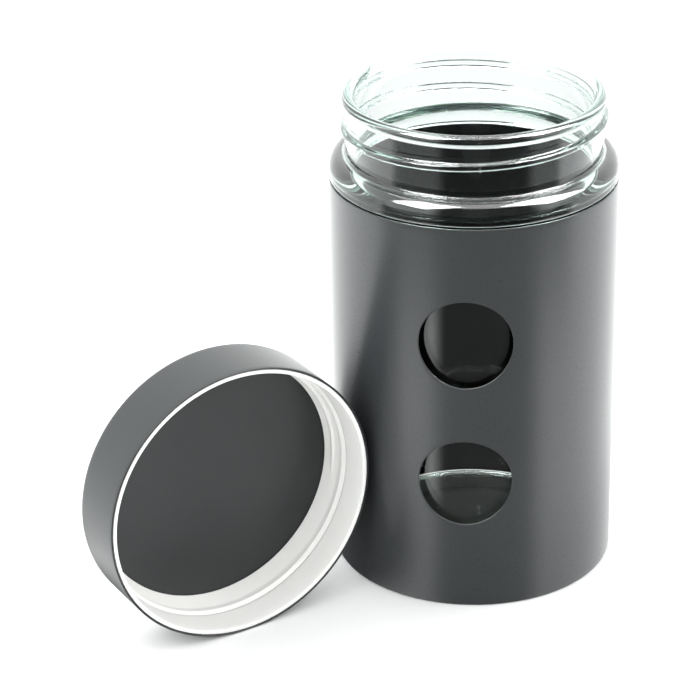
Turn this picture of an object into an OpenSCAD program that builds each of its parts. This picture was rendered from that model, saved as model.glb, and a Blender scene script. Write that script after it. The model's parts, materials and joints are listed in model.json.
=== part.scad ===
// Lidded glass canister: a wide-mouth screw-neck jar inside a painted steel sleeve with two round
// windows. The steel screw lid stands on its side on the table, next to the sleeve.
// Millimetres. The origin is the centre of the jar's foot on the table, +Z is up, and the windows
// face -Y.

/* [Sleeve] */
// Outside diameter of the painted steel sleeve
sleeve_d = 100; // [96:0.5:104]
// Height of the sleeve's lower edge above the table
sleeve_z = 0.3; // [0.2:0.1:1]
// Height of the sleeve's upper edge above the table
sleeve_top = 144; // [140:0.5:144.2]
// Sheet thickness of the sleeve
sleeve_wall = 0.6; // [0.4:0.1:0.8]
// Diameter of both windows
window_d = 32.2; // [20:0.1:36]
// Height of the lower window's centre
window_low_z = 49; // [40:0.5:56]
// Height of the upper window's centre
window_high_z = 101.6; // [96:0.1:112]

/* [Glass jar] */
// Height of the jar, foot to lip
jar_h = 174.4; // [173:0.1:176]
// Outside diameter of the jar's body
jar_d = 94.4; // [92:0.2:94.8]
// Glass thickness of the body
jar_wall = 3.2; // [2.5:0.1:4]
// Glass thickness of the floor
jar_floor = 2.6; // [2.4:0.2:8]
// Outside radius of the heel, and inside radius where wall and floor meet
heel_r = 4; // [2:0.5:6]
// Depth of the hollow under the foot
punt_depth = 0.8; // [0.4:0.1:1.2]
// Diameter of the shoulder ring that sits above the sleeve
shoulder_d = 100.2; // [99:0.1:100.4]
// Underside of the shoulder ring
shoulder_z = 144.7; // [144.6:0.1:145]
// Radius of the shoulder's upper rounding
shoulder_r = 5; // [3:0.5:5]
// Height of the straight side of the shoulder ring
shoulder_side = 3.1; // [2:0.1:3.2]
// Outside diameter of the neck
neck_d = 88.4; // [87:0.1:89]
// Outside diameter of the lip bead
lip_d = 90.6; // [90:0.1:90.8]
// Radius of the lip's full rounding
lip_r = 2.2; // [1.9:0.1:2.3]

/* [Thread] */
// Rise of the single-start thread in one turn
pitch = 8.6; // [8.6:0.1:8.8]
// Diameter over the jar's thread
thread_d = 91.8; // [91:0.1:92]
// Height of the jar's thread where it starts
thread_z = 157.4; // [157:0.1:157.8]
// Length of the jar's thread
thread_turn = 600; // [540:5:610]
// Width of the ridge at the neck
thread_base = 3.6; // [3:0.1:3.8]
// Width of the ridge at its crest
thread_crest = 1.3; // [1:0.1:1.5]

/* [Lid] */
// Outside diameter of the lid's steel shell
lid_d = 100; // [98:0.5:100]
// Height of the lid
lid_h = 23.7; // [23.5:0.1:24]
// Sheet thickness of the lid
lid_wall = 0.6; // [0.5:0.1:0.6]
// Radius of the lid's rounded top edge
lid_edge_r = 2.25; // [2:0.05:3]
// Thickness of the seal disc
seal_t = 1.3; // [1:0.1:1.3]
// Diameter of the seal disc
seal_d = 96.4; // [94:0.2:96.4]
// Inside diameter over the thread ridge of the insert
insert_thread_d = 90.6; // [90.6:0.1:91]
// Distance of the lid's mouth centre from the canister's axis, along X
lid_x = -74; // [-90:0.1:-74]
// Distance of the lid's mouth centre from the canister's axis, along Y
lid_y = -70.9; // [-90:0.1:-70.9]
// Direction that the lid's mouth faces, turned from -Y towards +X
lid_yaw = 36.8; // [30:0.1:40]
// Turn of the lid about its own axis as it stands
lid_spin = 0; // [0:1:360]

/* [Silicone dabs] */
// Diameter of the dabs between jar and sleeve
dab_d = 1.6; // [1:0.1:1.6]
// Height of the lower row of dabs
dab_low_z = 20; // [10:1:30]
// Height of the upper row of dabs
dab_high_z = 126; // [120:1:132]

/* [Hidden] */
$fn = 96;
eps = 0.01;
sleeve_r = sleeve_d / 2;
jar_r = jar_d / 2;
bore_r = jar_r - jar_wall;
neck_r = neck_d / 2;
neck_bore_r = lip_d / 2 - 2 * lip_r;
lip_z = jar_h - lip_r;
shoulder_mid = shoulder_z + shoulder_side;
fillet_r = 1;
lid_r = lid_d / 2;
// Radius of the middle of the gap between jar and sleeve
gap_r = (jar_r + sleeve_r - sleeve_wall) / 2;
// The insert: outside radius, then the inside radii at mouth, step, bore and landing
insert_out_r = lid_r - lid_wall - 0.2;
insert_mouth_r = lid_r - 2.3;
insert_step_r = lid_r - 2.6;
insert_bead_r = lid_r - 3.6;
insert_bore_r = lid_r - 3.4;
insert_land_r = lid_r - 5.4;
insert_z = 0.2;
step_z = 10.9;
bead_z = 12.6;
bore_z = 13.4;
land_z = 15;
insert_top = 21.3;
seal_z = insert_top + 0.25;
// The insert's ridge lies half a pitch under the jar's when the lid is closed
closed_z = jar_h - seal_z + 0.1;
insert_ridge_from = 530;
insert_ridge_turn = 230;

// A helical ridge on radius r, with its crest on radius rc, rising with the angle. It fades in and
// out over the given angle at its ends, where it sinks into the wall.
module helix_ridge(r, rc, z0, from, turn, base, crest, fade, step = 10) {
    side = sign(rc - r);
    root = r - side * 0.5;
    n = round(turn / step);
    function grow(a) = let (t = min(1, min(a, turn - a) / fade)) t * t * (3 - 2 * t);
    function peak(a) = r - side * 0.3 + (rc - r + side * 0.3) * grow(a);
    function ring(i) = let (a = i * turn / n, z = z0 + pitch * (from + a) / 360, c = cos(from + a),
                            s = sin(from + a), p = peak(a), b = base / 2, t = crest / 2)
        [[root * c, root * s, z - b], [p * c, p * s, z - t],
         [p * c, p * s, z + t], [root * c, root * s, z + b]];
    pts = [for (i = [0 : n]) each ring(i)];
    tube = [for (i = [0 : n - 1], k = [0 : 3]) let (a = 4 * i + k, b = 4 * i + (k + 1) % 4)
            each [[a, b, b + 4], [a, b + 4, a + 4]]];
    first = [[0, 3, 2], [0, 2, 1]];
    last = [[4 * n, 4 * n + 1, 4 * n + 2], [4 * n, 4 * n + 2, 4 * n + 3]];
    faces = concat(tube, first, last);
    polyhedron(pts, side > 0 ? faces : [for (f = faces) [f[2], f[1], f[0]]]);
}

// Half section of the glass, outside
module jar_outside() {
    square([jar_r - heel_r, shoulder_mid]);
    translate([0, heel_r]) square([jar_r, shoulder_mid - heel_r]);
    translate([jar_r - heel_r, heel_r]) circle(heel_r);
    ring_edge = 0.8;
    ring_r = shoulder_d / 2;
    translate([0, shoulder_z]) square([ring_r - ring_edge, shoulder_side]);
    translate([0, shoulder_z + ring_edge]) square([ring_r, shoulder_side - ring_edge]);
    translate([ring_r - ring_edge, shoulder_z + ring_edge]) circle(ring_edge);
    translate([ring_r - shoulder_r, shoulder_mid]) circle(shoulder_r);
    translate([0, shoulder_mid]) square([ring_r - shoulder_r, shoulder_r]);
    square([neck_r, lip_z]);
    translate([neck_r + fillet_r, shoulder_mid + shoulder_r + fillet_r]) difference() {
        translate([-fillet_r - eps, -fillet_r - eps]) square(fillet_r + eps);
        circle(fillet_r);
    }
    translate([lip_d / 2 - lip_r, lip_z]) circle(lip_r);
}

// Half section of the room inside the glass, and of the hollow under the foot
module jar_inside() {
    round_r = 3;
    translate([-1, jar_floor]) square([bore_r - round_r + 1, shoulder_z - jar_floor]);
    translate([-1, jar_floor + round_r])
        square([bore_r + 1, shoulder_z - jar_floor - round_r]);
    translate([bore_r - round_r, jar_floor + round_r]) circle(round_r);
    translate([-1, shoulder_z - eps]) square([bore_r + 1, shoulder_side + eps]);
    polygon([[-1, shoulder_mid - eps], [bore_r, shoulder_mid - eps], [neck_bore_r, shoulder_mid + 4],
             [neck_bore_r, jar_h + 1], [-1, jar_h + 1]]);
    foot_r = jar_r - heel_r - 6;
    polygon([[-1, -1], [foot_r + 1, -1], [foot_r, 0], [foot_r - 4, punt_depth * 0.8],
             [0, punt_depth], [-1, punt_depth]]);
}

module glass_jar() {
    color([0.82, 0.9, 0.88, 0.4]) union() {
        rotate_extrude() intersection() {
            difference() {
                jar_outside();
                jar_inside();
            }
            translate([0, -1]) square([sleeve_r + 5, jar_h + 2]);
        }
        helix_ridge(neck_r, thread_d / 2, thread_z, -20, thread_turn, thread_base, thread_crest, 50);
    }
}

module steel_sleeve() {
    color([0.27, 0.29, 0.3]) translate([0, 0, sleeve_z]) difference() {
        cylinder(h = sleeve_top - sleeve_z, r = sleeve_r);
        translate([0, 0, -1]) cylinder(h = sleeve_top + 2, r = sleeve_r - sleeve_wall);
        for (z = [window_low_z, window_high_z])
            translate([0, 0, z - sleeve_z]) rotate([90, 0, 0]) cylinder(h = sleeve_r + 5, d = window_d);
    }
}

// Puts a piece of the lid, drawn with its mouth on z = 0 and opening down, where the lid stands
module standing() {
    translate([lid_x, lid_y, lid_r]) rotate([0, 0, lid_yaw]) rotate([-90, 0, 0])
        rotate([0, 0, lid_spin]) children();
}

// Half section of a cap with a rounded top edge
module cap_section(r, h, edge) {
    square([r - edge, h]);
    square([r, h - edge]);
    translate([r - edge, h - edge]) circle(edge);
}

module lid_shell() {
    color([0.33, 0.36, 0.38]) standing() rotate_extrude() intersection() {
        difference() {
            cap_section(lid_r, lid_h, lid_edge_r);
            translate([0, -eps])
                cap_section(lid_r - lid_wall, lid_h - lid_wall + eps, lid_edge_r - lid_wall);
        }
        square([lid_r + 1, lid_h + 1]);
    }
}

module thread_insert() {
    color([0.95, 0.95, 0.93]) standing() union() {
        rotate_extrude() polygon([
            [insert_mouth_r + 0.3, insert_z], [insert_out_r, insert_z], [insert_out_r, insert_top],
            [insert_land_r, insert_top], [insert_land_r, insert_top - 0.3], [insert_bore_r, land_z],
            [insert_bore_r, bore_z], [insert_bead_r, bead_z + 0.5], [insert_bead_r, bead_z],
            [insert_step_r, step_z], [insert_mouth_r, insert_z + 0.6]]);
        helix_ridge(insert_bore_r, insert_thread_d / 2, thread_z - pitch / 2 - closed_z,
                    insert_ridge_from, insert_ridge_turn, 2.8, 1.1, 40);
    }
}

module seal_disc() {
    color([0.22, 0.23, 0.24]) standing() translate([0, 0, seal_z]) cylinder(h = seal_t, d = seal_d);
}

// A round dab of silicone in the gap between jar and sleeve
module dab(turn, z) {
    color([0.9, 0.9, 0.88]) rotate([0, 0, turn]) translate([gap_r, 0, z]) sphere(d = dab_d, $fn = 48);
}

module silicone_dab_1() { dab(90, dab_low_z); }
module silicone_dab_2() { dab(210, dab_low_z); }
module silicone_dab_3() { dab(330, dab_low_z); }
module silicone_dab_4() { dab(90, dab_high_z); }
module silicone_dab_5() { dab(210, dab_high_z); }
module silicone_dab_6() { dab(330, dab_high_z); }

glass_jar();
steel_sleeve();
lid_shell();
thread_insert();
seal_disc();
silicone_dab_1();
silicone_dab_2();
silicone_dab_3();
silicone_dab_4();
silicone_dab_5();
silicone_dab_6();
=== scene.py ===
import json
import math
import bpy
import bmesh
from mathutils import Matrix, Vector


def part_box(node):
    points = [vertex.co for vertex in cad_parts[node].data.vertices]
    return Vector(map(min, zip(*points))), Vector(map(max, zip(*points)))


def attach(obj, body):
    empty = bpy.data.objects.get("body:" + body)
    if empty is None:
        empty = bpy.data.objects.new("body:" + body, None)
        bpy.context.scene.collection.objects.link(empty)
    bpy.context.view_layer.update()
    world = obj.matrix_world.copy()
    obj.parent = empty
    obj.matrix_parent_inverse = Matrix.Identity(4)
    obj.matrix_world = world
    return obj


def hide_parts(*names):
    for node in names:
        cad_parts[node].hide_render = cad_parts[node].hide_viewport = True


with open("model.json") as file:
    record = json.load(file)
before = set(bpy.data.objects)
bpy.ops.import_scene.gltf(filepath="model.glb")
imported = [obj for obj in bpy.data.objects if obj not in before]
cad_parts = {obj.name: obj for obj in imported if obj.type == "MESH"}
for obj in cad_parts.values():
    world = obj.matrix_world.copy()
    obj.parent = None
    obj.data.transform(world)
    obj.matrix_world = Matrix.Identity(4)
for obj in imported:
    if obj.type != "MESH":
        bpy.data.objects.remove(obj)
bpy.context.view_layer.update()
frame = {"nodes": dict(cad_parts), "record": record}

MM = 0.001

# ---------------------------------------------------------------- frame facts
sleeve_lo, sleeve_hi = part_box("steel_sleeve")
R = (sleeve_hi[0] - sleeve_lo[0]) / 2
turn = next(j for j in frame["record"]["behaviour"]["joints"] if j["name"] == "lid_turn")
lid_at, lid_up = Vector(turn["pos_m"]), Vector(turn["axis"]).normalized()


def lid_matrix():
    """Places a piece drawn with its mouth at z = 0 and opening down where the lid stands."""
    y = Vector((0, 0, -1))
    x = y.cross(lid_up).normalized()
    m = Matrix((x, y, lid_up)).transposed().to_4x4()
    m.translation = lid_at
    return m


# ---------------------------------------------------------------- mesh helpers
def add_mesh(name, verts, faces, matrix=None, smooth=True):
    mesh = bpy.data.meshes.new(name)
    mesh.from_pydata([tuple(v) for v in verts], [], faces)
    mesh.validate()
    if smooth:
        mesh.polygons.foreach_set("use_smooth", [True] * len(mesh.polygons))
    obj = bpy.data.objects.new(name, mesh)
    bpy.context.scene.collection.objects.link(obj)
    if matrix is not None:
        mesh.transform(matrix)
    return obj


def arc(cr, cz, r, a0, a1, n):
    """Points of a circular arc of a half section, angles in degrees."""
    out = []
    for i in range(n + 1):
        a = math.radians(a0 + (a1 - a0) * i / n)
        out.append((cr + r * math.cos(a), cz + r * math.sin(a)))
    return out


def line(r0, z0, r1, z1, n):
    return [(r0 + (r1 - r0) * i / n, z0 + (z1 - z0) * i / n) for i in range(n + 1)]


def join(*runs):
    """Joins runs of points, without the repeated ones."""
    out = []
    for run in runs:
        for p in run:
            if not out or abs(p[0] - out[-1][0]) + abs(p[1] - out[-1][1]) > 1e-6:
                out.append(p)
    return out


def lathe(name, profile, steps, matrix=None, shape=None):
    """Turns a half section (mm) round Z. shape(i, r, z, angle) may move a point of the section."""
    verts, rings = [], []
    for i, (r, z) in enumerate(profile):
        if r < 1e-6:
            rings.append([len(verts)] * steps)
            verts.append((0, 0, z * MM))
            continue
        ring = []
        for k in range(steps):
            a = 2 * math.pi * k / steps
            rr, zz = shape(i, r, z, a) if shape else (r, z)
            ring.append(len(verts))
            verts.append((rr * math.cos(a) * MM, rr * math.sin(a) * MM, zz * MM))
        rings.append(ring)
    faces = []
    for lo, hi in zip(rings, rings[1:]):
        if lo[0] == lo[1] and hi[0] == hi[1]:
            continue
        for k in range(steps):
            m = (k + 1) % steps
            quad = [lo[k], lo[m], hi[m], hi[k]]
            face = [v for j, v in enumerate(quad) if v != quad[j - 1]]
            faces.append(face)
    return add_mesh(name, verts, faces, matrix)


def smooth01(t):
    t = min(1, max(0, t))
    return t * t * (3 - 2 * t)


def ridge(angle, z, z0, first, span, base, crest, fade):
    """Height, 0 to 1, at this angle and height, of a helical ridge that starts at angle first.

    The ridge is base wide at its foot and crest wide at its top, and fades over its ends."""
    deg = math.degrees(angle)
    best = 0
    for lap in range(-1, 4):
        a = deg + 360 * lap - first
        if a < 0 or a > span:
            continue
        d = abs(z - (z0 + THREAD_PITCH * (first + a) / 360))
        h = smooth01(1 - (d - crest / 2) / ((base - crest) / 2))
        best = max(best, h * smooth01(min(a, span - a) / fade))
    return best


# ---------------------------------------------------------------- materials
def material(name):
    m = bpy.data.materials.new(name)
    m.use_nodes = True
    t = m.node_tree
    return m, t.nodes, t.links, t.nodes["Principled BSDF"]


def noise(nodes, links, scale, detail=3.0):
    n = nodes.new("ShaderNodeTexNoise")
    n.inputs["Scale"].default_value = scale
    n.inputs["Detail"].default_value = detail
    links.new(nodes.new("ShaderNodeTexCoord").outputs["Object"], n.inputs["Vector"])
    return n


def ramp(nodes, links, source, stops):
    r = nodes.new("ShaderNodeValToRGB")
    els = r.color_ramp.elements
    while len(els) < len(stops):
        els.new(0.5)
    for e, (p, c) in zip(els, stops):
        e.position = p
        e.color = (*c, 1)
    links.new(source, r.inputs["Fac"])
    return r


def grey(v):
    return (v, v, v)


def bump(nodes, links, height, strength, distance, bsdf):
    b = nodes.new("ShaderNodeBump")
    b.inputs["Strength"].default_value = strength
    b.inputs["Distance"].default_value = distance
    links.new(height, b.inputs["Height"])
    links.new(b.outputs["Normal"], bsdf.inputs["Normal"])


def paint(name, dark, light, rough, peel=0.05):
    """Satin paint, between two colours and two roughnesses, with orange peel of this strength."""
    m, n, l, p = material(name)
    fine = noise(n, l, 2600, 2)
    broad = noise(n, l, 25, 3)
    col = ramp(n, l, broad.outputs["Fac"], [(0.3, dark), (0.7, light)])
    l.new(col.outputs["Color"], p.inputs["Base Color"])
    rr = ramp(n, l, fine.outputs["Fac"], [(0.3, grey(rough[0])), (0.7, grey(rough[1]))])
    l.new(rr.outputs["Color"], p.inputs["Roughness"])
    p.inputs["IOR"].default_value = 1.5
    if peel:
        bump(n, l, fine.outputs["Fac"], peel, 0.0001, p)
    return m


def glass_material():
    m, n, l, p = material("clear_glass")
    p.inputs["Base Color"].default_value = (1, 1, 1, 1)
    p.inputs["Transmission Weight"].default_value = 1
    p.inputs["IOR"].default_value = 1.51
    wave = noise(n, l, 60, 2)
    rr = ramp(n, l, wave.outputs["Fac"], [(0.45, grey(0.0)), (0.8, grey(0.03))])
    l.new(rr.outputs["Color"], p.inputs["Roughness"])
    slow = noise(n, l, 35, 1)
    bump(n, l, slow.outputs["Fac"], 0.25, 0.0006, p)
    v = n.new("ShaderNodeVolumeAbsorption")
    v.inputs["Color"].default_value = (0.55, 0.92, 0.80, 1)
    v.inputs["Density"].default_value = 30
    l.new(v.outputs["Volume"], n["Material Output"].inputs["Volume"])
    return m


def plastic_material():
    m, n, l, p = material("white_plastic")
    broad = noise(n, l, 40, 4)
    col = ramp(n, l, broad.outputs["Fac"], [(0.3, (0.88, 0.875, 0.85)), (0.7, (0.92, 0.917, 0.90))])
    l.new(col.outputs["Color"], p.inputs["Base Color"])
    fine = noise(n, l, 700, 3)
    rr = ramp(n, l, fine.outputs["Fac"], [(0.3, grey(0.50)), (0.7, grey(0.60))])
    l.new(rr.outputs["Color"], p.inputs["Roughness"])
    p.inputs["Subsurface Weight"].default_value = 0.15
    p.inputs["Subsurface Radius"].default_value = (0.002, 0.0018, 0.0015)
    bump(n, l, fine.outputs["Fac"], 0.05, 0.0002, p)
    return m


def seal_material():
    m, n, l, p = material("seal_rubber")
    broad = noise(n, l, 30, 4)
    dark, light = (0.014, 0.016, 0.017), (0.018, 0.0205, 0.0215)
    col = ramp(n, l, broad.outputs["Fac"], [(0.3, dark), (0.7, light)])
    l.new(col.outputs["Color"], p.inputs["Base Color"])
    fine = noise(n, l, 1200, 4)
    rr = ramp(n, l, fine.outputs["Fac"], [(0.3, grey(0.42)), (0.7, grey(0.52))])
    l.new(rr.outputs["Color"], p.inputs["Roughness"])
    bump(n, l, fine.outputs["Fac"], 0.08, 0.0002, p)
    return m


def silicone_material():
    m, n, l, p = material("silicone")
    broad = noise(n, l, 900, 3)
    col = ramp(n, l, broad.outputs["Fac"], [(0.3, (0.62, 0.64, 0.64)), (0.7, (0.72, 0.74, 0.74))])
    l.new(col.outputs["Color"], p.inputs["Base Color"])
    p.inputs["Roughness"].default_value = 0.35
    p.inputs["Subsurface Weight"].default_value = 0.3
    p.inputs["Subsurface Radius"].default_value = (0.002, 0.002, 0.002)
    return m


M_SLEEVE = paint("sleeve_paint", (0.035, 0.038, 0.040), (0.039, 0.042, 0.044), (0.27, 0.31))
M_INNER = paint("sleeve_inside", (0.0055, 0.0055, 0.0055), (0.0075, 0.0075, 0.0075), (0.6, 0.7), 0.0)
M_INNER.node_tree.nodes["Principled BSDF"].inputs["Specular IOR Level"].default_value = 0.1
M_LID = paint("lid_paint", (0.025, 0.028, 0.029), (0.028, 0.031, 0.032), (0.30, 0.34))
M_LID.node_tree.nodes["Principled BSDF"].inputs["Specular IOR Level"].default_value = 0.28
M_GLASS = glass_material()
M_PLASTIC = plastic_material()
M_SEAL = seal_material()
M_SILICONE = silicone_material()

# ---------------------------------------------------------------- glass jar
# Sizes in mm: the wall, the ring under the shoulder, the neck with its thread, and the lip
JAR_R, BORE_R, HEEL_R = 47.2, 44.0, 4
FLOOR_Z, CORNER_R = 2.6, 3
RING_R, RING_Z, RING_EDGE = 50.1, 144.7, 0.8
SHOULDER_Z, SHOULDER_R, FILLET_R = 147.8, 5, 1
NECK_R, NECK_BORE_R, NECK_Z = 44.2, 40.9, 153.8
THREAD_R, THREAD_Z, THREAD_PITCH = 45.9, 157.4, 8.6
THREAD_FIRST, THREAD_SPAN, THREAD_FADE = -20, 600, 50
LIP_AT, LIP_Z, LIP_R = 43.1, 172.2, 2.2
BORE_Z, BORE_DROP, BORE_STEPS = 152.3, 5.2, 14


def jar_profile():
    """The glass's half section, and where the neck's straight part starts and ends in it."""
    foot_r = JAR_R - HEEL_R
    step_z = RING_Z - RING_EDGE
    outside = join(
        line(0, 0.8, 29, 0.66, 6), line(32, 0.5, 36.5, 0.02, 3),
        line(37.2, 0, foot_r, 0, 3), arc(foot_r, HEEL_R, HEEL_R, -90, 0, 12),
        line(JAR_R, HEEL_R, JAR_R, step_z, 20),
        arc(JAR_R + RING_EDGE, step_z, RING_EDGE, 180, 90, 4),
        line(JAR_R + RING_EDGE, RING_Z, RING_R - RING_EDGE, RING_Z, 2),
        arc(RING_R - RING_EDGE, RING_Z + RING_EDGE, RING_EDGE, -90, 0, 6),
        line(RING_R, RING_Z + RING_EDGE, RING_R, SHOULDER_Z, 4),
        arc(RING_R - SHOULDER_R, SHOULDER_Z, SHOULDER_R, 0, 90, 20),
        arc(NECK_R + FILLET_R, NECK_Z, FILLET_R, 270, 180, 6))
    neck = line(NECK_R, NECK_Z, NECK_R, LIP_Z - 2, 66)
    lip = arc(LIP_AT, LIP_Z, LIP_R, -60, 180, 36)
    widening = [(NECK_BORE_R + (BORE_R - NECK_BORE_R) * smooth01(i / BORE_STEPS),
                 BORE_Z - BORE_DROP * i / BORE_STEPS) for i in range(BORE_STEPS + 1)]
    corner_z = FLOOR_Z + CORNER_R
    inside = join(
        line(NECK_BORE_R, LIP_Z, NECK_BORE_R, BORE_Z, 20), widening,
        line(BORE_R, BORE_Z - BORE_DROP, BORE_R, corner_z, 24),
        arc(BORE_R - CORNER_R, corner_z, CORNER_R, 0, -90, 10),
        line(BORE_R - CORNER_R, FLOOR_Z, 0, FLOOR_Z, 8))
    return join(outside, neck, lip, inside), len(outside), len(outside) + len(neck)


JAR, NECK_FROM, NECK_TO = jar_profile()


def jar_shape(i, r, z, a):
    """Raises the thread on the neck, from a little under the neck's surface."""
    root_r = NECK_R - 0.4
    if NECK_FROM - 4 <= i <= NECK_TO + 4:
        h = ridge(a, z, THREAD_Z, THREAD_FIRST, THREAD_SPAN, 3.6, 1.3, THREAD_FADE)
        r = max(r, root_r + (THREAD_R - root_r) * h) if h > 0 else r
    return r, z


jar = lathe("jar", JAR, 288, shape=jar_shape)
jar.data.materials.append(M_GLASS)
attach(jar, "canister")
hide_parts("glass_jar")

# ---------------------------------------------------------------- steel sleeve
# Sizes in mm: the tube, the windows' radius and heights, and the rounding of every rim
SLEEVE_R, WALL = 50.0, 0.6
LOW, TOP = 0.3, 144.0
WIN_R = 16.1
WINDOWS = (49.0, 101.6)
EDGE = 0.2


def tube_point(angle, z, depth):
    """A point of the sleeve, at an angle from its front, with depth under the outer surface."""
    r = SLEEVE_R - depth
    return (r * math.sin(angle) * MM, -r * math.cos(angle) * MM, z * MM)


def sleeve_point(x, z, depth):
    """A point of the sleeve's front at projected x, with depth under the outer surface."""
    return tube_point(math.asin(max(-1, min(1, x / SLEEVE_R))), z, depth)


def sleeve_mesh():
    """The sheet as one skin: a turned tube with a patch round each window, whose rims are rounded."""
    verts, faces, inner = [], [], []
    half, n_side, layers = 24.0, 24, 12
    # rim and depth steps from the outer face to the inner face
    quarter = [(1.0, 0.0), (0.6, 0.08), (0.29, 0.29), (0.08, 0.6), (0.0, 1.0)]
    rim = [(EDGE * a, EDGE * b) for a, b in quarter]
    rim += [(EDGE * a, WALL - EDGE * b) for a, b in quarter[::-1]]
    a_half = math.asin(half / SLEEVE_R)

    def quad(a, b, c, d, is_inner):
        faces.append((a, b, c, d) if not is_inner else (d, c, b, a))
        inner.append(is_inner)

    def add(p):
        verts.append(p)
        return len(verts) - 1

    # outline of the patch: xs at equal steps of angle, so that they meet the tube's columns
    xs = [SLEEVE_R * math.sin(-a_half + 2 * a_half * i / n_side) for i in range(n_side + 1)]
    for zc in WINDOWS:
        zs = [zc - half + 2 * half * i / n_side for i in range(n_side + 1)]
        outline = ([(x, zs[0]) for x in xs[:-1]] + [(xs[-1], z) for z in zs[:-1]]
                   + [(x, zs[-1]) for x in xs[:0:-1]] + [(xs[0], z) for z in zs[:0:-1]])
        ring_out = {}
        for depth in (0.0, WALL):
            rings = []
            for k in range(layers + 1):
                t = k / layers
                row = []
                for (x, z) in outline:
                    ang = math.atan2(z - zc, x)
                    cx, cz = (WIN_R + EDGE) * math.cos(ang), zc + (WIN_R + EDGE) * math.sin(ang)
                    row.append(add(sleeve_point(cx + (x - cx) * t, cz + (z - cz) * t, depth)))
                rings.append(row)
            m = len(outline)
            for k in range(layers):
                for i in range(m):
                    j = (i + 1) % m
                    quad(rings[k][i], rings[k + 1][i], rings[k + 1][j], rings[k][j], depth > 0)
            ring_out[depth] = rings[0]
        rows = [ring_out[0.0]]
        for dr, depth in rim[1:-1]:
            row = []
            for (x, z) in outline:
                ang = math.atan2(z - zc, x)
                r = WIN_R + dr
                row.append(add(sleeve_point(r * math.cos(ang), zc + r * math.sin(ang), depth)))
            rows.append(row)
        rows.append(ring_out[WALL])
        m = len(outline)
        for a, b in zip(rows, rows[1:]):
            for i in range(m):
                j = (i + 1) % m
                quad(a[i], a[j], b[j], b[i], False)
    # the rest of the tube
    columns = [-a_half + 2 * a_half * i / n_side for i in range(n_side + 1)]
    rest = 232
    columns += [a_half + (2 * math.pi - 2 * a_half) * i / rest for i in range(1, rest)]
    heights = []
    stops = [LOW + EDGE] + [zc + side * half for zc in WINDOWS for side in (-1, 1)] + [TOP - EDGE]
    for z0, z1 in zip(stops, stops[1:]):
        n = n_side if (z1 - z0) == 2 * half else max(2, round((z1 - z0) / 2))
        heights += [z0 + (z1 - z0) * i / n for i in range(n)]
    heights.append(stops[-1])

    def ring(z, depth):
        return [add(tube_point(a, z, depth)) for a in columns]

    m = len(columns)

    def covered(z0, z1, i):
        mid = (z0 + z1) / 2
        return i < n_side and any(abs(mid - zc) < half for zc in WINDOWS)

    ends = {}
    for depth in (0.0, WALL):
        rings = [ring(z, depth) for z in heights]
        for (za, zb, lo, hi) in zip(heights, heights[1:], rings, rings[1:]):
            for i in range(m):
                if not covered(za, zb, i):
                    quad(lo[i], lo[(i + 1) % m], hi[(i + 1) % m], hi[i], depth > 0)
        ends[depth] = (rings[0], rings[-1])
    for which, z_end, sign in ((0, LOW, 1), (1, TOP, -1)):
        rows = [ends[0.0][which]]
        rows += [ring(z_end + sign * dr, depth) for dr, depth in rim[1:-1]]
        rows.append(ends[WALL][which])
        for a, b in zip(rows, rows[1:]):
            for i in range(m):
                j = (i + 1) % m
                if which:
                    quad(a[i], a[j], b[j], b[i], False)
                else:
                    quad(b[i], b[j], a[j], a[i], False)
    obj = add_mesh("sleeve", verts, faces)
    for poly, flag in zip(obj.data.polygons, inner):
        poly.material_index = 1 if flag else 0
    bm = bmesh.new()
    bm.from_mesh(obj.data)
    bmesh.ops.remove_doubles(bm, verts=bm.verts, dist=2e-6)
    bm.to_mesh(obj.data)
    bm.free()
    return obj


sleeve = sleeve_mesh()
sleeve.data.materials.append(M_SLEEVE)
sleeve.data.materials.append(M_INNER)
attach(sleeve, "canister")
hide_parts("steel_sleeve")

# ---------------------------------------------------------------- lid
# Sizes in mm, with the lid's mouth at z = 0 and its top above it
LID_R, LID_H, LID_WALL, LID_ROUND = 50, 23.7, 0.6, 2.25
DISC_R, DISC_LOW, DISC_HIGH, DISC_EDGE = 48.2, 21.55, 22.85, 0.2
INSERT_R, INSERT_TOP, INSERT_BORE_R = 49.2, 21.3, 46.6
place = lid_matrix()


def shell_profile():
    """A rolled rim, the side, the rounded edge and the flat top, then back along the inside."""
    roll = LID_WALL / 2
    flat_r, side_z = LID_R - LID_ROUND, LID_H - LID_ROUND
    return join(
        arc(LID_R - roll, roll, roll, -90, 0, 4), line(LID_R, roll, LID_R, side_z, 12),
        arc(flat_r, side_z, LID_ROUND, 0, 90, 12), line(flat_r, LID_H, 0, LID_H, 16),
        line(0, LID_H - LID_WALL, flat_r, LID_H - LID_WALL, 16),
        arc(flat_r, side_z, LID_ROUND - LID_WALL, 90, 0, 8),
        line(LID_R - LID_WALL, side_z, LID_R - LID_WALL, roll, 8),
        arc(LID_R - roll, roll, roll, 180, 270, 4))


def insert_profile():
    """The mouth and the skirt, the bead, the bore up to the seal disc, and the outside."""
    return join(
        arc(48.1, 0.45, 0.25, 270, 180, 3), line(47.85, 0.45, 47.75, 1.0, 2),
        line(47.75, 1.0, 47.4, 10.4, 8),
        arc(47.1, 10.9, 0.5, 60, 20, 2), line(47.3, 11.2, INSERT_BORE_R, 12.3, 3),
        arc(46.75, 12.75, 0.35, 200, 160, 3),
        line(INSERT_BORE_R, 13.4, INSERT_BORE_R, 14.8, 5), line(46.55, 15.1, 44.7, 20.9, 20),
        arc(44.75, 21.15, 0.15, 180, 90, 2),
        line(45, INSERT_TOP, INSERT_R, INSERT_TOP, 3), line(INSERT_R, 20.9, INSERT_R, 0.4, 3),
        arc(INSERT_R - 0.2, 0.4, 0.2, 0, -90, 3), [(48.1, 0.2)])


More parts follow.
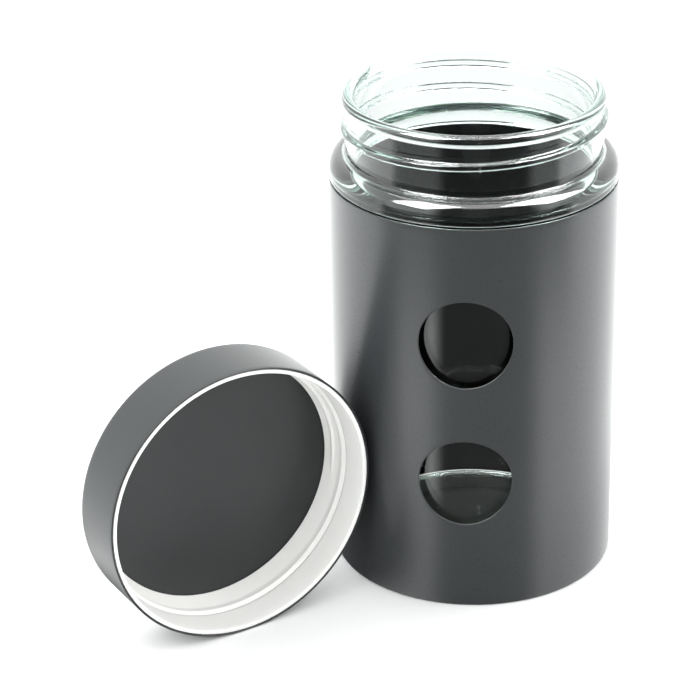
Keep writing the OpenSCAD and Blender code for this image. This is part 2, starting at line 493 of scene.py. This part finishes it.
def insert_shape(i, r, z, a):
    """Raises the insert's ridge inwards from the bore."""
    first_point, last_point, widest = 14, 50, 47.2
    if first_point <= i <= last_point and r < widest:
        h = ridge(a, z, 0.45, 530, 230, 2.8, 1.1, 40)
        r = min(r, 46.9 - 1.6 * h) if h > 0 else r
    return r, z


def disc_profile():
    flat_r = DISC_R - DISC_EDGE
    return join(
        line(0, DISC_LOW, flat_r, DISC_LOW, 24),
        arc(flat_r, DISC_LOW + DISC_EDGE, DISC_EDGE, -90, 0, 3),
        line(DISC_R, DISC_LOW + DISC_EDGE, DISC_R, DISC_HIGH - DISC_EDGE, 2),
        arc(flat_r, DISC_HIGH - DISC_EDGE, DISC_EDGE, 0, 90, 3),
        line(flat_r, DISC_HIGH, 0, DISC_HIGH, 24))


shell = lathe("lid_cap", shell_profile(), 256, place)
shell.data.materials.append(M_LID)
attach(shell, "lid")
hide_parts("lid_shell")

insert = lathe("lid_insert", insert_profile(), 256, place, shape=insert_shape)
insert.data.materials.append(M_PLASTIC)
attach(insert, "lid")
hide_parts("thread_insert")

disc = lathe("lid_seal_disc", disc_profile(), 192, place)
disc.data.materials.append(M_SEAL)
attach(disc, "lid_seal")
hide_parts("seal_disc")

for name, obj in frame["nodes"].items():
    if name.startswith("silicone_dab"):
        obj.data.materials.clear()
        obj.data.materials.append(M_SILICONE)


# ---------------------------------------------------------------- floor, and stand-ins of painted shade
def maths(nodes, links, operation, a, b=None):
    """A math node of numbers or sockets."""
    n = nodes.new("ShaderNodeMath")
    n.operation = operation
    for i, v in enumerate((a, b)):
        if v is None:
            continue
        if isinstance(v, (int, float)):
            n.inputs[i].default_value = v
        else:
            links.new(v, n.inputs[i])
    return n.outputs[0]


def fade(nodes, links, value, start, end, depth=1):
    """0 where the value is start, rising smoothly to depth where it is end."""
    n = nodes.new("ShaderNodeMapRange")
    n.interpolation_type = "SMOOTHSTEP"
    n.inputs["From Min"].default_value = start
    n.inputs["From Max"].default_value = end
    n.inputs["To Max"].default_value = depth
    links.new(value, n.inputs["Value"])
    return n.outputs["Result"]


def toward_side(nodes, links, x, y, length, side):
    """Cosine of the angle between a flat direction, x and y, and a side of the room."""
    along = maths(nodes, links, "ADD", maths(nodes, links, "MULTIPLY", x, side[0]),
                  maths(nodes, links, "MULTIPLY", y, side[1]))
    return maths(nodes, links, "DIVIDE", along, length)


def cos_deg(angle):
    return math.cos(math.radians(angle))


def sin_deg(angle):
    return math.sin(math.radians(angle))


def table_material(name, scale, dark, light):
    m, n, l, p = material(name)
    col = ramp(n, l, noise(n, l, scale, 2).outputs["Fac"], [(0.3, grey(dark)), (0.7, grey(light))])
    l.new(col.outputs["Color"], p.inputs["Base Color"])
    p.inputs["Roughness"].default_value = 0.9
    return m, p


def square(name, half, z):
    return add_mesh(name, [(-half, -half, z), (half, -half, z), (half, half, z), (-half, half, z)],
                    [(0, 1, 2, 3)], smooth=False)


CAMERA_SIDE, CAMERA_RIGHT = Vector((0.103, -0.995, 0)), Vector((0.995, 0.103, 0))

# The floor shows to the camera and lights the object, but not in reflections or through glass
floor = square("floor", 6, 0)
M_FLOOR, floor_shader = table_material("floor", 3, 0.93, 0.95)
floor_shader.inputs["Specular IOR Level"].default_value = 0.1
floor.data.materials.append(M_FLOOR)
floor.visible_glossy = False
floor.visible_transmission = False

SHADE_Z = 0.0002


def painted_shade_material():
    """Painted shade, for reflections only: dark near the canister's foot, behind and beside the lid, and
    far off on the camera's side as if the table ended there, else clear.
    """
    m, n, l, _ = material("painted_table_shade")
    at = n.new("ShaderNodeTexCoord").outputs["Object"]

    def painted_shade_blob(x, y, r_in, r_out, depth):
        """Painted shade of this depth within r_in of a point of the table, falling to 0 at r_out, all in
        units of R.
        """
        d = n.new("ShaderNodeVectorMath")
        d.operation = "DISTANCE"
        l.new(at, d.inputs[0])
        d.inputs[1].default_value = (x * R, y * R, SHADE_Z)
        return fade(n, l, d.outputs["Value"], r_out * R, r_in * R, depth)

    split = n.new("ShaderNodeSeparateXYZ")
    l.new(at, split.inputs[0])
    away = n.new("ShaderNodeVectorMath")
    away.operation = "LENGTH"
    l.new(at, away.inputs[0])
    distance = away.outputs["Value"]
    toward = toward_side(n, l, split.outputs[0], split.outputs[1], distance, CAMERA_SIDE)
    # Painted dark reflection far out on the camera's side
    beyond = maths(n, l, "MULTIPLY", fade(n, l, distance, R * 5.6, R * 7.0, 0.85),
                   fade(n, l, toward, cos_deg(80), cos_deg(68)))
    # Painted contact shade round the foot, and painted shadows behind and beside the lid
    foot = painted_shade_blob(0, 0, 1.1, 3.0, 0.32)
    behind_lid = painted_shade_blob(-1.75, -0.55, 0.9, 1.7, 0.97)
    beside_lid = painted_shade_blob(-2.9, 0.3, 0.95, 1.4, 0.97)
    painted_shade_depth = maths(n, l, "MAXIMUM", foot, behind_lid)
    painted_shade_depth = maths(n, l, "MAXIMUM", painted_shade_depth, beyond)
    painted_shade_depth = maths(n, l, "MAXIMUM", painted_shade_depth, beside_lid)

    mix = n.new("ShaderNodeMixShader")
    clear = n.new("ShaderNodeBsdfTransparent")
    dark = n.new("ShaderNodeBsdfDiffuse")
    dark.inputs["Color"].default_value = (0.01, 0.01, 0.01, 1)
    l.new(painted_shade_depth, mix.inputs[0])
    l.new(clear.outputs[0], mix.inputs[1])
    l.new(dark.outputs[0], mix.inputs[2])
    l.new(mix.outputs[0], n["Material Output"].inputs["Surface"])
    return m


# A plane of painted shade on the table, that only reflections see
shade = square("painted_table_shade", 4, SHADE_Z)
shade.data.materials.append(painted_shade_material())
shade.visible_camera = False
shade.visible_diffuse = False
shade.visible_shadow = False
shade.visible_transmission = False

# A dark disc of painted shade under the jar, standing for the table in the jar's shadow, which shows
# through the glass
under = lathe("painted_shade_under_jar", [(0, 0.06), (25, 0.06), (49.2, 0.06)], 96)
under.data.materials.append(table_material("painted_shade_under_jar_surface", 20, 0.03, 0.04)[0])

# ---------------------------------------------------------------- studio
# Strengths of the world at the sides and back, towards the front, overhead, and through glass
WHITE, FRONT, ROOF, THROUGH_GLASS = 2.7, 0.27, 0.5, 1.12
DARK_SIDE = (0.240, -0.971)


def studio_world():
    """White round the sides and the back, dark towards the camera's side and overhead."""
    world = bpy.data.worlds.new("studio")
    world.use_nodes = True
    n, l = world.node_tree.nodes, world.node_tree.links
    split = n.new("ShaderNodeSeparateXYZ")
    l.new(n.new("ShaderNodeTexCoord").outputs["Generated"], split.inputs[0])
    dx, dy, dz = split.outputs
    squares = maths(n, l, "ADD", maths(n, l, "MULTIPLY", dx, dx), maths(n, l, "MULTIPLY", dy, dy))
    length = maths(n, l, "MAXIMUM", maths(n, l, "SQRT", squares), 1e-4)
    in_front = fade(n, l, toward_side(n, l, dx, dy, length, DARK_SIDE), cos_deg(49), cos_deg(34))
    overhead = fade(n, l, dz, sin_deg(52), sin_deg(64))
    side = maths(n, l, "ADD", maths(n, l, "MULTIPLY", in_front, FRONT - WHITE), WHITE)
    to_roof = maths(n, l, "MULTIPLY", overhead, maths(n, l, "SUBTRACT", ROOF, side))
    total = maths(n, l, "ADD", side, to_roof)
    # Dimmer through glass, so that the glass's tint and edges show against the white
    through = n.new("ShaderNodeLightPath").outputs["Is Transmission Ray"]
    loss = maths(n, l, "MULTIPLY", through, 1 - THROUGH_GLASS / WHITE)
    strength = maths(n, l, "MULTIPLY", total, maths(n, l, "SUBTRACT", 1.0, loss))
    l.new(strength, n["Background"].inputs["Strength"])
    n["Background"].inputs["Color"].default_value = (0.985, 1.0, 1.0, 1)
    return world


bpy.context.scene.world = studio_world()


def area_light(name, at, look, wide, tall, power):
    data = bpy.data.lights.new(name, "AREA")
    data.shape = "RECTANGLE"
    data.size = wide
    data.size_y = tall
    data.energy = power
    obj = bpy.data.objects.new(name, data)
    obj.location = at
    obj.rotation_euler = (Vector(look) - Vector(at)).to_track_quat("-Z", "Y").to_euler()
    bpy.context.scene.collection.objects.link(obj)
    return obj


MIDDLE = Vector((0, 0, R * 2))


def soft_box(name, azimuth, elevation, distance, wide, tall, radiance, glossy=True, only=None):
    """A light panel that acts on reflections, or only on diffuse light, of all pieces or of one.

    Azimuth 0 is the camera's side and grows to its right."""
    level = cos_deg(azimuth) * CAMERA_SIDE + sin_deg(azimuth) * CAMERA_RIGHT
    way = cos_deg(elevation) * level + sin_deg(elevation) * Vector((0, 0, 1))
    power = radiance * math.pi * wide * tall
    obj = area_light(name, MIDDLE + way * distance, MIDDLE, wide, tall, power)
    obj.visible_diffuse = not glossy
    obj.visible_glossy = glossy
    obj.visible_transmission = glossy
    if only:
        group = bpy.data.collections.new(name + "_on")
        group.objects.link(only)
        obj.light_linking.receiver_collection = group


soft_box("box_left", -57, 52, 1.4, 0.75, 1.0, 12)
soft_box("box_right", 84, 52, 1.4, 0.85, 1.0, 12)
soft_box("glass_left", -57, 55, 1.39, 0.70, 1.0, 26, only=jar)
soft_box("glass_right", 80, 55, 1.39, 0.85, 1.0, 26, only=jar)
soft_box("box_above", 0, 89, 1.4, 1.5, 1.5, 6)
soft_box("fill", 10, 50, 1.5, 1.2, 1.2, 1.6, glossy=False)

# ---------------------------------------------------------------- camera
# Angles in radians, and the camera's place in units of the sleeve's radius
YAW, PITCH, ROLL = -0.1032, 0.4563, -0.0193
CAMERA_AT = (0.84660, -16.6882, 9.7250)


def make_camera():
    data = bpy.data.cameras.new("camera")
    data.sensor_width = 36
    data.lens = 134.09
    data.clip_start = 0.01
    data.clip_end = 50
    cam = bpy.data.objects.new("camera", data)
    bpy.context.scene.collection.objects.link(cam)
    forward = Vector((math.sin(YAW) * math.cos(PITCH), math.cos(YAW) * math.cos(PITCH), -math.sin(PITCH)))
    right = forward.cross(Vector((0, 0, 1))).normalized()
    up = right.cross(forward).normalized()
    rolled_right = math.cos(ROLL) * right + math.sin(ROLL) * up
    rolled_up = -math.sin(ROLL) * right + math.cos(ROLL) * up
    cam.matrix_world = Matrix((rolled_right, rolled_up, -forward)).transposed().to_4x4()
    cam.location = Vector(CAMERA_AT) * R
    return cam


bpy.context.scene.camera = make_camera()
bpy.context.scene.view_settings.view_transform = "Standard"
